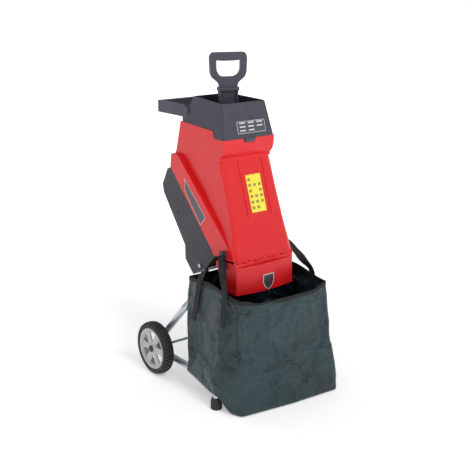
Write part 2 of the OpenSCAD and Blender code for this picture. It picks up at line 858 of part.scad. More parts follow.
module bag_shell() {
    step_y = -200;
    color("#4a5f63") {
        difference() {
            bag_block(0);
            bag_block(cloth);
            translate([-300, step_y, -1]) cube([600, 400, 62]);
            translate([-300, -400, bag_rim_z - 10]) cube([600, 600, 60]);
            // where the frame rails leave through the back
            for (s = [-1, 1]) translate([s * rail_x - 13, -20, 50]) cube([26, 50, 24.5]);
        }
        intersection() {
            bag_block(1);
            union() {
                translate([-300, step_y - 2, 76]) cube([600, 300, cloth]);
                translate([-300, step_y - 2, 0]) cube([600, cloth, 78]);
            }
        }
    }
}

module bag_binding() {
    color("#202024") difference() {
        intersection() {
            bag_block(-1.6);
            translate([-300, -400, bag_rim_z - 30]) cube([600, 600, 19.9]);
        }
        bag_block(-0.1);
    }
}

// One webbing loop: sewn to the side of the bag, up over the hook and down again.
strap_pts = [[186, -32, 246], [178, -40, 340], [170, -48, 392], [128, -92, 452],
             [132, -104, 452], [172, -172, 384], [182, -178, 340], [192, -184, 262]];

module strap(s) {
    for (i = [0:len(strap_pts) - 2]) hull() for (p = [strap_pts[i], strap_pts[i + 1]])
        translate([s * (p[0] + 2), p[1], p[2]]) cube([1.6, 24, 1.6], center = true);
}

module bag_straps() {
    color("#232027") for (s = [-1, 1]) strap(s);
}

frame_tube();  // left_frame_tube
mirror([1, 0, 0]) frame_tube();  // right_frame_tube
axle();
foot(-1);  // left_foot
foot(1);  // right_foot
motor_housing();
cutter_deck();
discharge_chute();
lower_badge();
bag_hooks();
housing_screws();
deck_screws();
hinge_pins();
stator();
motor_end_bell();
carbon_brushes();
motor_bearings();
bearing_housing();
spindle_bearings();
drive_belt();
switch_body();
power_rocker();
reset_button();
safety_switch();
run_capacitor();
power_inlet();
upper_cover();
hopper();
feed_throat();
front_label();
side_plates();
rating_label();
cover_screws();
lock_knob();
lock_shank();
spindle();
spindle_nut();
blade_disc();
chipper_blades();
blade_screws();
drive_pulley();
motor_shaft();
armature();
commutator();
cooling_fan();
motor_pulley();
plunger_grip();
plunger_shaft();
plunger_foot();
tyre(-1);  // left_tyre
tyre(1);  // right_tyre
rim(-1);  // left_rim
rim(1);  // right_rim
hub_cap(-1);  // left_hub_cap
hub_cap(1);  // right_hub_cap
bag_shell();
bag_binding();
bag_straps();
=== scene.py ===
import json
import math

import bpy
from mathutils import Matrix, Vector, noise


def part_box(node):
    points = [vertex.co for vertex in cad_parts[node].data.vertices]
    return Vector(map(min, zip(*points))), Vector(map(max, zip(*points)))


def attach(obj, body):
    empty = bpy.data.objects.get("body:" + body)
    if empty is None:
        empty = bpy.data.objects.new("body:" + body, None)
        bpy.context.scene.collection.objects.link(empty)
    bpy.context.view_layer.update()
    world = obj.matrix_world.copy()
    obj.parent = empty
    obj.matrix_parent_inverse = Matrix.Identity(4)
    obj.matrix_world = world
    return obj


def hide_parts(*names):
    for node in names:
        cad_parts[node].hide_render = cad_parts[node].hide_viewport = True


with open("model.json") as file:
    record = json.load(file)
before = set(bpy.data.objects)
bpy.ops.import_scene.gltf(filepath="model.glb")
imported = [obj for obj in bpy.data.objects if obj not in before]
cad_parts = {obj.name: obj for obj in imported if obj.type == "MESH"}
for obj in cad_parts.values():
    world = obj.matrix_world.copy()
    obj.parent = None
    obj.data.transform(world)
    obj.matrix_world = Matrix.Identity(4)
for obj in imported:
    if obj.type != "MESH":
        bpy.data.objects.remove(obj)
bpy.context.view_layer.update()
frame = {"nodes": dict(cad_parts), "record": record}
scene = bpy.context.scene

# ---------------------------------------------------------------- camera, light and floor
# A long lens at the height of the hopper, turned to the machine's left front corner.
# The floor is a plain pale sheet and the light is soft, with its key high in front.
VIEW_TURN = math.radians(-38)
VIEW_DIP = math.radians(16.11)
bpy.ops.object.camera_add(
    location=(-1.7097, -2.1883, 1.2855),
    rotation=(math.pi / 2 - VIEW_DIP, 0, VIEW_TURN),
)
camera = bpy.context.object
camera.data.lens = 69.1
camera.data.sensor_width = 36
camera.data.clip_end = 60
scene.camera = camera
scene.view_settings.view_transform = "Standard"


def soft_light(name, place, aim, power, size):
    """A round soft lamp at a place, turned to what it lights."""
    bpy.ops.object.light_add(type="AREA", location=place)
    light = bpy.context.object
    light.name = name
    light.data.energy = power
    light.data.shape = "DISK"
    light.data.size = size
    light.rotation_euler = (Vector(aim) - Vector(place)).to_track_quat("-Z", "Y").to_euler()


soft_light("key_light", (-0.3, -2.9, 3.0), (0, 0, 0.5), 54, 1.3)
soft_light("side_light", (-3.0, -0.6, 1.6), (0, 0, 0.5), 7, 1.6)
soft_light("fill_light", (2.6, -2.4, 1.6), (0, 0, 0.5), 10, 2.4)
soft_light("back_light", (-0.6, 3.2, 2.6), (0, 0, 0.6), 26, 2.0)

# The room is white where it is seen and dimmer where it lights the machine.
world = bpy.data.worlds.new("white_room")
scene.world = world
world.use_nodes = True
room = world.node_tree
seen = room.nodes.new("ShaderNodeLightPath")
level = room.nodes.new("ShaderNodeMapRange")
level.inputs["To Min"].default_value = 0.42
level.inputs["To Max"].default_value = 1.0
room.links.new(seen.outputs["Is Camera Ray"], level.inputs["Value"])
room.links.new(level.outputs["Result"], room.nodes["Background"].inputs["Strength"])
room.nodes["Background"].inputs["Color"].default_value = (1, 1, 1, 1)

bpy.ops.object.select_all(action="DESELECT")
bpy.ops.mesh.primitive_plane_add(size=60, location=(0, 0, 0))
floor = bpy.context.object
floor.name = "floor"
floor_paint = bpy.data.materials.new("floor_paint")
floor_paint.use_nodes = True
floor_shader = floor_paint.node_tree.nodes["Principled BSDF"]
floor_shader.inputs["Base Color"].default_value = (0.93, 0.93, 0.93, 1)
floor_shader.inputs["Roughness"].default_value = 0.8
floor_shader.inputs["Emission Color"].default_value = (1, 1, 1, 1)
# the sheet glows toward its far end, so that it meets the white room without an edge
floor_nodes = floor_paint.node_tree
floor_place = floor_nodes.nodes.new("ShaderNodeTexCoord")
floor_reach = floor_nodes.nodes.new("ShaderNodeVectorMath")
floor_reach.operation = "LENGTH"
floor_glow = floor_nodes.nodes.new("ShaderNodeMapRange")
floor_glow.inputs["From Min"].default_value = 0.5
floor_glow.inputs["From Max"].default_value = 3.6
floor_glow.inputs["To Min"].default_value = 0.36
floor_glow.inputs["To Max"].default_value = 1.0
floor_nodes.links.new(floor_place.outputs["Object"], floor_reach.inputs[0])
floor_nodes.links.new(floor_reach.outputs["Value"], floor_glow.inputs["Value"])
floor_nodes.links.new(floor_glow.outputs["Result"], floor_shader.inputs["Emission Strength"])
floor.data.materials.append(floor_paint)

# ---------------------------------------------------------------- red cover and chute
# Two injection moulded shells in glossy red plastic. The cover carries the hopper and
# tips forward on the hinge pins; the chute is screwed to the housing below it.
# Their edges are rounded as a mould leaves them.


def group_of(name, inputs, outputs):
    """A new shader node group with named float or colour sockets."""
    group = bpy.data.node_groups.new(name, "ShaderNodeTree")
    for label, value in inputs:
        kind = "NodeSocketColor" if isinstance(value, tuple) else "NodeSocketFloat"
        socket = group.interface.new_socket(name=label, in_out="INPUT", socket_type=kind)
        socket.default_value = value
    for label, kind in outputs:
        group.interface.new_socket(name=label, in_out="OUTPUT", socket_type=kind)
    return group


def moulded_surface():
    """Fine mould grain, soft waviness, dust in streaks and faint scuffs."""
    group = group_of(
        "moulded_surface",
        [("Color", (0.5, 0.5, 0.5, 1)), ("Dust", (0.5, 0.5, 0.5, 1)), ("Roughness", 0.4),
         ("Grain Scale", 900.0), ("Spread", 0.1)],
        [("Color", "NodeSocketColor"), ("Roughness", "NodeSocketFloat"),
         ("Height", "NodeSocketFloat")],
    )
    nodes, links = group.nodes, group.links
    into = nodes.new("NodeGroupInput")
    out = nodes.new("NodeGroupOutput")
    place = nodes.new("ShaderNodeTexCoord")

    grain = nodes.new("ShaderNodeTexNoise")
    grain.inputs["Detail"].default_value = 2
    links.new(place.outputs["Object"], grain.inputs["Vector"])
    links.new(into.outputs["Grain Scale"], grain.inputs["Scale"])

    wave = nodes.new("ShaderNodeTexNoise")
    wave.inputs["Scale"].default_value = 14
    wave.inputs["Detail"].default_value = 3
    links.new(place.outputs["Object"], wave.inputs["Vector"])

    stretch = nodes.new("ShaderNodeMapping")
    stretch.inputs["Scale"].default_value = (60, 60, 7)
    links.new(place.outputs["Object"], stretch.inputs["Vector"])
    streak = nodes.new("ShaderNodeTexNoise")
    streak.inputs["Scale"].default_value = 1
    streak.inputs["Detail"].default_value = 6
    links.new(stretch.outputs["Vector"], streak.inputs["Vector"])
    streak_mask = nodes.new("ShaderNodeMapRange")
    streak_mask.inputs["From Min"].default_value = 0.5
    streak_mask.inputs["From Max"].default_value = 0.85
    links.new(streak.outputs["Fac"], streak_mask.inputs["Value"])

    dusty = nodes.new("ShaderNodeMix")
    dusty.data_type = "RGBA"
    share = nodes.new("ShaderNodeMath")
    share.operation = "MULTIPLY"
    links.new(streak_mask.outputs["Result"], share.inputs[0])
    links.new(into.outputs["Spread"], share.inputs[1])
    links.new(share.outputs["Value"], dusty.inputs["Factor"])
    links.new(into.outputs["Color"], dusty.inputs["A"])
    links.new(into.outputs["Dust"], dusty.inputs["B"])
    links.new(dusty.outputs["Result"], out.inputs["Color"])

    rough = nodes.new("ShaderNodeMath")
    rough.operation = "MULTIPLY_ADD"
    rough.inputs[1].default_value = 0.22
    links.new(wave.outputs["Fac"], rough.inputs[0])
    links.new(into.outputs["Roughness"], rough.inputs[2])
    links.new(rough.outputs["Value"], out.inputs["Roughness"])

    height = nodes.new("ShaderNodeMath")
    height.operation = "MULTIPLY_ADD"
    height.inputs[1].default_value = 6
    links.new(wave.outputs["Fac"], height.inputs[0])
    links.new(grain.outputs["Fac"], height.inputs[2])
    links.new(height.outputs["Value"], out.inputs["Height"])
    return group


MOULDED = moulded_surface()


def surfaced(name, color, dust, roughness, grain, bump, spread):
    """A material with the moulded surface: grain is its scale and bump its depth in metres."""
    material = bpy.data.materials.new(name)
    material.use_nodes = True
    nodes, links = material.node_tree.nodes, material.node_tree.links
    shader = nodes["Principled BSDF"]
    surface = nodes.new("ShaderNodeGroup")
    surface.node_tree = MOULDED
    surface.inputs["Color"].default_value = (*color, 1)
    surface.inputs["Dust"].default_value = (*dust, 1)
    surface.inputs["Roughness"].default_value = roughness
    surface.inputs["Grain Scale"].default_value = grain
    surface.inputs["Spread"].default_value = spread
    lift = nodes.new("ShaderNodeBump")
    lift.inputs["Distance"].default_value = bump
    links.new(surface.outputs["Color"], shader.inputs["Base Color"])
    links.new(surface.outputs["Roughness"], shader.inputs["Roughness"])
    links.new(surface.outputs["Height"], lift.inputs["Height"])
    links.new(lift.outputs["Normal"], shader.inputs["Normal"])
    return material


def moulded_plastic(name, color, dust, roughness, grain, bump, coat=0.0, spread=0.12):
    """A moulded plastic, with a thin gloss coat where it is polished."""
    material = surfaced(name, color, dust, roughness, grain, bump, spread)
    shader = material.node_tree.nodes["Principled BSDF"]
    shader.inputs["Specular IOR Level"].default_value = 0.36
    shader.inputs["Coat Weight"].default_value = coat
    shader.inputs["Coat Roughness"].default_value = 0.12
    return material


def dress(node, material):
    """Gives a CAD node its material."""
    piece = frame["nodes"][node]
    piece.data.materials.clear()
    piece.data.materials.append(material)


def clear_selection():
    """Leaves edit mode and selects nothing, ready for the next piece."""
    if bpy.context.object and bpy.context.object.mode != "OBJECT":
        bpy.ops.object.mode_set(mode="OBJECT")
    bpy.ops.object.select_all(action="DESELECT")


def body_with(node):
    """The body that a node belongs to."""
    bodies = frame["record"]["behaviour"]["bodies"]
    return next(body for body, members in bodies.items() if node in members)


MERGE_GAP = 0.00002


def own_copy(node, name, materials):
    """A merged copy of a CAD node's mesh, selected and placed at the origin."""
    clear_selection()
    source = frame["nodes"][node]
    piece = bpy.data.objects.new(name, source.data.copy())
    piece.matrix_world = source.matrix_world
    scene.collection.objects.link(piece)
    piece.data.materials.clear()
    for material in materials:
        piece.data.materials.append(material)
    bpy.context.view_layer.objects.active = piece
    piece.select_set(True)
    bpy.ops.object.transform_apply(location=True, rotation=True, scale=True)
    bpy.ops.object.mode_set(mode="EDIT")
    bpy.ops.mesh.select_all(action="SELECT")
    bpy.ops.mesh.remove_doubles(threshold=MERGE_GAP)
    return piece


def rounded_copy(node, name, material, width, segments=3, angle=25):
    """A copy of a CAD node with the moulded part's rounded edges; it stands for the node."""
    piece = own_copy(node, name, [material])
    bpy.ops.mesh.dissolve_limited(angle_limit=math.radians(1.0))
    bpy.ops.object.mode_set(mode="OBJECT")
    rounding = piece.modifiers.new("rounding", "BEVEL")
    rounding.width = width
    rounding.segments = segments
    rounding.limit_method = "ANGLE"
    rounding.angle_limit = math.radians(angle)
    rounding.harden_normals = True
    rounding.miter_outer = "MITER_ARC"
    bpy.ops.object.modifier_apply(modifier="rounding")
    bpy.ops.object.shade_smooth_by_angle(angle=math.radians(40))
    level_faces = piece.modifiers.new("level_faces", "WEIGHTED_NORMAL")
    level_faces.mode = "FACE_AREA"
    level_faces.weight = 80
    level_faces.keep_sharp = True
    bpy.ops.object.modifier_apply(modifier="level_faces")
    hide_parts(node)
    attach(piece, body_with(node))
    return piece


red_plastic = moulded_plastic(
    "red_plastic", (0.66, 0.008, 0.012), (0.74, 0.07, 0.06), 0.28, 1400, 0.00006, coat=0.10)
cover = rounded_copy("upper_cover", "cover_shell", red_plastic, 0.0028)
chute = rounded_copy("discharge_chute", "chute_shell", red_plastic, 0.0016)

# ---------------------------------------------------------------- hopper and throat
# The hopper is a slate grey moulding with a fine leather grain, open at the top, with
# its carry handle moulded on at the back. The throat hangs from its floor.
slate_plastic = moulded_plastic(
    "slate_plastic", (0.048, 0.050, 0.070), (0.13, 0.14, 0.17), 0.36, 1100, 0.00012)
hopper = rounded_copy("hopper", "hopper_shell", slate_plastic, 0.0035, angle=30)
dress("feed_throat", slate_plastic)

# ---------------------------------------------------------------- plunger
# A push-down plunger: a D grip on a ribbed blade, all in the hopper's slate plastic.
grip = rounded_copy("plunger_grip", "grip_moulding", slate_plastic, 0.006, segments=4)
shaft = rounded_copy("plunger_shaft", "plunger_blade", slate_plastic, 0.0012)
foot_pad = rounded_copy("plunger_foot", "plunger_end", slate_plastic, 0.002)

# ---------------------------------------------------------------- motor housing
# The lower shell in black plastic with a dry spark-eroded texture. It holds the motor,
# the belt drive and the switch gear, and the frame tubes end in its two sockets.
black_plastic = moulded_plastic(
    "black_plastic", (0.036, 0.036, 0.046), (0.11, 0.11, 0.12), 0.42, 1300, 0.00016)
housing = rounded_copy("motor_housing", "housing_shell", black_plastic, 0.0030, angle=30)
for part in ("switch_body", "power_inlet", "bag_hooks"):
    dress(part, black_plastic)
knob = rounded_copy("lock_knob", "lock_knob_moulding", black_plastic, 0.0022)

# ---------------------------------------------------------------- frame and axle
# Bent steel tube with a silver powder coat, and a plain bright axle rod through it.


def metal(name, color, roughness, scale, bump, metallic=1.0):
    """A metal with fine brushed or sprayed variation, duller in its streaks."""
    dull = [0.72 * c for c in color]
    material = surfaced(name, color, dull, roughness, scale, bump, 0.5)
    material.node_tree.nodes["Principled BSDF"].inputs["Metallic"].default_value = metallic
    return material


tube_paint = metal("tube_paint", (0.50, 0.51, 0.56), 0.20, 900, 0.00003, metallic=0.85)
bright_steel = metal("bright_steel", (0.66, 0.66, 0.68), 0.10, 1500, 0.00002)
plain_steel = metal("plain_steel", (0.52, 0.53, 0.56), 0.22, 1200, 0.00003)
cast_alloy = metal("cast_alloy", (0.50, 0.51, 0.53), 0.38, 500, 0.00025)
copper = metal("copper", (0.62, 0.28, 0.15), 0.22, 900, 0.00008)
for part in ("left_frame_tube", "right_frame_tube"):
    dress(part, tube_paint)
for part in ("axle", "hinge_pins", "motor_bearings", "spindle_bearings", "spindle",
             "motor_shaft", "chipper_blades"):
    dress(part, bright_steel)
for part in ("housing_screws", "deck_screws", "cover_screws", "stator", "lock_shank",
             "spindle_nut", "blade_disc", "blade_screws", "motor_pulley"):
    dress(part, plain_steel)
for part in ("cutter_deck", "motor_end_bell", "bearing_housing", "drive_pulley"):
    dress(part, cast_alloy)
for part in ("armature", "commutator"):
    dress(part, copper)

# ---------------------------------------------------------------- small electrical parts
# Switch rocker, reset button, safety switch, capacitor, brushes and the motor's fan.
rocker_green = moulded_plastic(
    "rocker_green", (0.02, 0.24, 0.06), (0.10, 0.34, 0.14), 0.25, 900, 0.00004, coat=0.3)
button_red = moulded_plastic(
    "button_red", (0.55, 0.02, 0.02), (0.62, 0.14, 0.12), 0.25, 900, 0.00004, coat=0.3)
cream_plastic = moulded_plastic(
    "cream_plastic", (0.62, 0.60, 0.53), (0.48, 0.45, 0.38), 0.4, 700, 0.00006)
carbon = moulded_plastic("carbon", (0.02, 0.02, 0.02), (0.06, 0.06, 0.06), 0.5, 1500, 0.0001)
dress("power_rocker", rocker_green)
dress("reset_button", button_red)
dress("run_capacitor", cream_plastic)
dress("carbon_brushes", carbon)
dress("safety_switch", black_plastic)
dress("cooling_fan", slate_plastic)

# ---------------------------------------------------------------- feet and belt
# Moulded black rubber: the boots on the ends of the frame, and the ribbed drive belt.
rubber = moulded_plastic(
    "rubber", (0.028, 0.027, 0.031), (0.12, 0.115, 0.11), 0.55, 1000, 0.00020, spread=0.35)
for side in ("left", "right"):
    boot = rounded_copy(side + "_foot", side + "_boot", rubber, 0.0015)
dress("drive_belt", rubber)

# ---------------------------------------------------------------- wheels
# Black moulded tyres with a lugged tread, pressed on six-spoked silver grey plastic rims.
# A black cap on each end of the axle keeps the wheel on.
rim_plastic = moulded_plastic(
    "rim_plastic", (0.52, 0.52, 0.50), (0.30, 0.30, 0.29), 0.30, 1200, 0.00006)
FACETS = 120
LUG_DEPTH = 0.0028
LUG_RADIUS = 0.0006


def lugged_tyre(side):
    """A spun tyre whose shoulder and crown are cut into lugs."""
    low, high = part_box(side + "_tyre")
    middle = (low + high) / 2
    radius = (high.z - low.z) / 2
    half = (high.x - low.x) / 2
    rim_low, rim_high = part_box(side + "_rim")
    seat = (rim_high.z - rim_low.z) / 2 + 0.0002
    outline = [(seat, -0.80), (seat + 0.003, -0.93), (seat + 0.008, -0.99),
               (radius - 0.007, -0.97), (radius - 0.003, -0.84), (radius - 0.001, -0.55),
               (radius, -0.30), (radius, 0.0), (radius, 0.30), (radius - 0.001, 0.55),
               (radius - 0.003, 0.84), (radius - 0.007, 0.97), (seat + 0.008, 0.99),
               (seat + 0.003, 0.93), (seat, 0.80)]
    clear_selection()
    bpy.ops.mesh.primitive_circle_add(vertices=len(outline), radius=0.01, fill_type="NOTHING")
    tyre = bpy.context.object
    tyre.name = side + "_tyre_tread"
    for vertex, (r, x) in zip(tyre.data.vertices, outline):
        vertex.co = (middle.x + x * half, middle.y, middle.z + r)
    bpy.ops.object.mode_set(mode="EDIT")
    bpy.ops.mesh.select_all(action="SELECT")
    bpy.ops.mesh.spin(steps=FACETS, angle=2 * math.pi, center=middle, axis=(1, 0, 0))
    bpy.ops.mesh.select_all(action="SELECT")
    bpy.ops.mesh.remove_doubles(threshold=0.00005)
    bpy.ops.mesh.normals_make_consistent(inside=False)
    bpy.ops.mesh.select_all(action="DESELECT")
    bpy.ops.object.mode_set(mode="OBJECT")
    # every third facet of each row is sunk, and the rows are staggered
    for face in tyre.data.polygons:
        out = Vector(face.center) - middle
        reach = math.hypot(out.y, out.z)
        facet = int((math.atan2(out.z, out.y) / (2 * math.pi) + 1) * FACETS + 0.001)
        row = 0 if abs(out.x) > half * 0.30 else 1
        shoulder = abs(out.x) > half * 0.62
        face.select = (
            reach > radius - 0.0065
            and abs(out.x) < half * 0.975
            and (facet + row + (1 if out.x > 0 and row == 0 else 0)) % 3 == 0
            and (shoulder or row == 0 or abs(out.x) < half * 0.2)
        )
    bpy.ops.object.mode_set(mode="EDIT")
    bpy.ops.mesh.extrude_region_shrink_fatten(
        TRANSFORM_OT_shrink_fatten={"value": -LUG_DEPTH})
    bpy.ops.object.mode_set(mode="OBJECT")
    soften = tyre.modifiers.new("soften", "BEVEL")
    soften.width = LUG_RADIUS
    soften.segments = 2
    soften.limit_method = "ANGLE"
    soften.angle_limit = math.radians(35)
    bpy.ops.object.modifier_apply(modifier="soften")
    bpy.ops.object.shade_smooth_by_angle(angle=math.radians(35))
    tyre.data.materials.append(rubber)
    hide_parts(side + "_tyre")
    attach(tyre, side + "_wheel")


for side in ("left", "right"):
    lugged_tyre(side)
    rim = rounded_copy(side + "_rim", side + "_spoked_rim", rim_plastic, 0.0018, angle=30)
    dress(side + "_hub_cap", black_plastic)

# ---------------------------------------------------------------- labels and badges
# Stick-on labels: a yellow one on the front, a rating plate on the hopper, a dark plate on
# each side and a dark shield on the chute. They carry plain borders and rows of plain
# marks instead of any lettering.
plate_dark = moulded_plastic(
    "plate_dark", (0.040, 0.040, 0.048), (0.10, 0.10, 0.11), 0.25, 900, 0.00003, coat=0.3)
badge_pale = moulded_plastic(
    "badge_pale", (0.62, 0.61, 0.58), (0.50, 0.48, 0.45), 0.25, 900, 0.00002, coat=0.3)


def row_marks():
    """Rows of small filled marks; some places in the rows stay empty."""
    group = group_of(
        "row_marks",
        [("Columns", 50.0), ("Rows", 50.0), ("Start X", 0.0), ("Start Z", 0.0),
         ("Width", 0.3), ("Height", 0.3)],
        [("Mask", "NodeSocketFloat")],
    )
    nodes, links = group.nodes, group.links
    into = nodes.new("NodeGroupInput")
    out = nodes.new("NodeGroupOutput")
    place = nodes.new("ShaderNodeTexCoord")
    parts = nodes.new("ShaderNodeSeparateXYZ")
    links.new(place.outputs["Object"], parts.inputs["Vector"])
    inside = []
    cell = nodes.new("ShaderNodeCombineXYZ")
    for axis, count, start, reach in (("X", "Columns", "Start X", "Width"),
                                      ("Z", "Rows", "Start Z", "Height")):
        shift = nodes.new("ShaderNodeMath")
        shift.operation = "SUBTRACT"
        links.new(parts.outputs[axis], shift.inputs[0])
        links.new(into.outputs[start], shift.inputs[1])
        step = nodes.new("ShaderNodeMath")
        step.operation = "MULTIPLY"
        links.new(shift.outputs["Value"], step.inputs[0])
        links.new(into.outputs[count], step.inputs[1])
        number = nodes.new("ShaderNodeMath")
        number.operation = "FLOOR"
        links.new(step.outputs["Value"], number.inputs[0])
        links.new(number.outputs["Value"], cell.inputs[axis])
        rest = nodes.new("ShaderNodeMath")
        rest.operation = "FRACT"
        links.new(step.outputs["Value"], rest.inputs[0])
        near = nodes.new("ShaderNodeMath")
        near.operation = "COMPARE"
        near.inputs[1].default_value = 0.5
        links.new(rest.outputs["Value"], near.inputs[0])
        links.new(into.outputs[reach], near.inputs[2])
        inside.append(near)
    chance = nodes.new("ShaderNodeTexWhiteNoise")
    links.new(cell.outputs["Vector"], chance.inputs["Vector"])
    filled = nodes.new("ShaderNodeMath")
    filled.operation = "GREATER_THAN"
    filled.inputs[1].default_value = 0.25
    links.new(chance.outputs["Value"], filled.inputs[0])
    both = nodes.new("ShaderNodeMath")
    both.operation = "MULTIPLY"
    links.new(inside[0].outputs["Value"], both.inputs[0])
    links.new(inside[1].outputs["Value"], both.inputs[1])
    mask = nodes.new("ShaderNodeMath")
    mask.operation = "MULTIPLY"
    links.new(both.outputs["Value"], mask.inputs[0])
    links.new(filled.outputs["Value"], mask.inputs[1])
    links.new(mask.outputs["Value"], out.inputs["Mask"])
    return group


ROW_MARKS = row_marks()


def printed(name, paper, ink, columns, rows, start, width, height):
    """A label: paper colour with rows of marks in the ink colour."""
    material = moulded_plastic(name, paper, [0.8 * c for c in paper], 0.3, 400, 0.00002, coat=0.25)
    nodes, links = material.node_tree.nodes, material.node_tree.links
    marks = nodes.new("ShaderNodeGroup")
    marks.node_tree = ROW_MARKS
    marks.inputs["Columns"].default_value = columns
    marks.inputs["Rows"].default_value = rows
    marks.inputs["Start X"].default_value = start[0]
    marks.inputs["Start Z"].default_value = start[1]
    marks.inputs["Width"].default_value = width
    marks.inputs["Height"].default_value = height
    blend = nodes.new("ShaderNodeMix")
    blend.data_type = "RGBA"
    blend.inputs["B"].default_value = (*ink, 1)
    surface = next(node for node in nodes if node.type == "GROUP" and node.node_tree == MOULDED)
    links.new(marks.outputs["Mask"], blend.inputs["Factor"])
    links.new(surface.outputs["Color"], blend.inputs["A"])
    links.new(blend.outputs["Result"], nodes["Principled BSDF"].inputs["Base Color"])
    return material


def framed_copy(node, name, face, border, facing, width):
    """A copy of a label whose outer face has a border of its own colour."""
    piece = own_copy(node, name, [border, face])
    bpy.ops.mesh.select_all(action="DESELECT")
    bpy.ops.object.mode_set(mode="OBJECT")
    for polygon in piece.data.polygons:
        out = Vector((math.copysign(1, polygon.center.x), 0, 0)) if facing is None else facing
        polygon.select = polygon.normal.dot(out) > 0.8
    bpy.ops.object.mode_set(mode="EDIT")
    bpy.ops.mesh.select_mode(type="FACE")
    bpy.ops.mesh.inset(thickness=width, depth=0, use_even_offset=True)
    piece.active_material_index = 1
    bpy.ops.object.material_slot_assign()
    bpy.ops.object.mode_set(mode="OBJECT")
    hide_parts(node)
    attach(piece, body_with(node))
    return piece


label_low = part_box("front_label")[0]
label_face = printed(
    "label_yellow", (0.88, 0.72, 0.06), (0.30, 0.25, 0.05), 52, 60,
    (label_low.x + 0.0005, label_low.z + 0.006), 0.28, 0.26)
label_edge = moulded_plastic(
    "label_edge", (0.80, 0.62, 0.05), (0.7, 0.55, 0.1), 0.3, 400, 0.00002)
framed_copy("front_label", "front_sticker", label_face, label_edge,
            Vector((0, -1, 0)), 0.002)
rating_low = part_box("rating_label")[0]
rating_face = printed(
    "rating_face", (0.055, 0.058, 0.075), (0.52, 0.52, 0.53), 30, 90,
    (rating_low.x + 0.004, rating_low.z + 0.003), 0.34, 0.20)
framed_copy("rating_label", "rating_plate", rating_face, badge_pale,
            Vector((0, -1, 0)), 0.0012)
framed_copy("side_plates", "side_plate_pair", plate_dark, badge_pale, None, 0.0014)
framed_copy("lower_badge", "shield_badge", plate_dark, badge_pale,
            Vector((0, -1, 0)), 0.0022)

# ---------------------------------------------------------------- catch bag
# A box-shaped bag sewn from dark grey-green woven plastic cloth. Its rim is bound with
# black tape, two webbing loops hang it from the hooks, and its front stands on the floor.


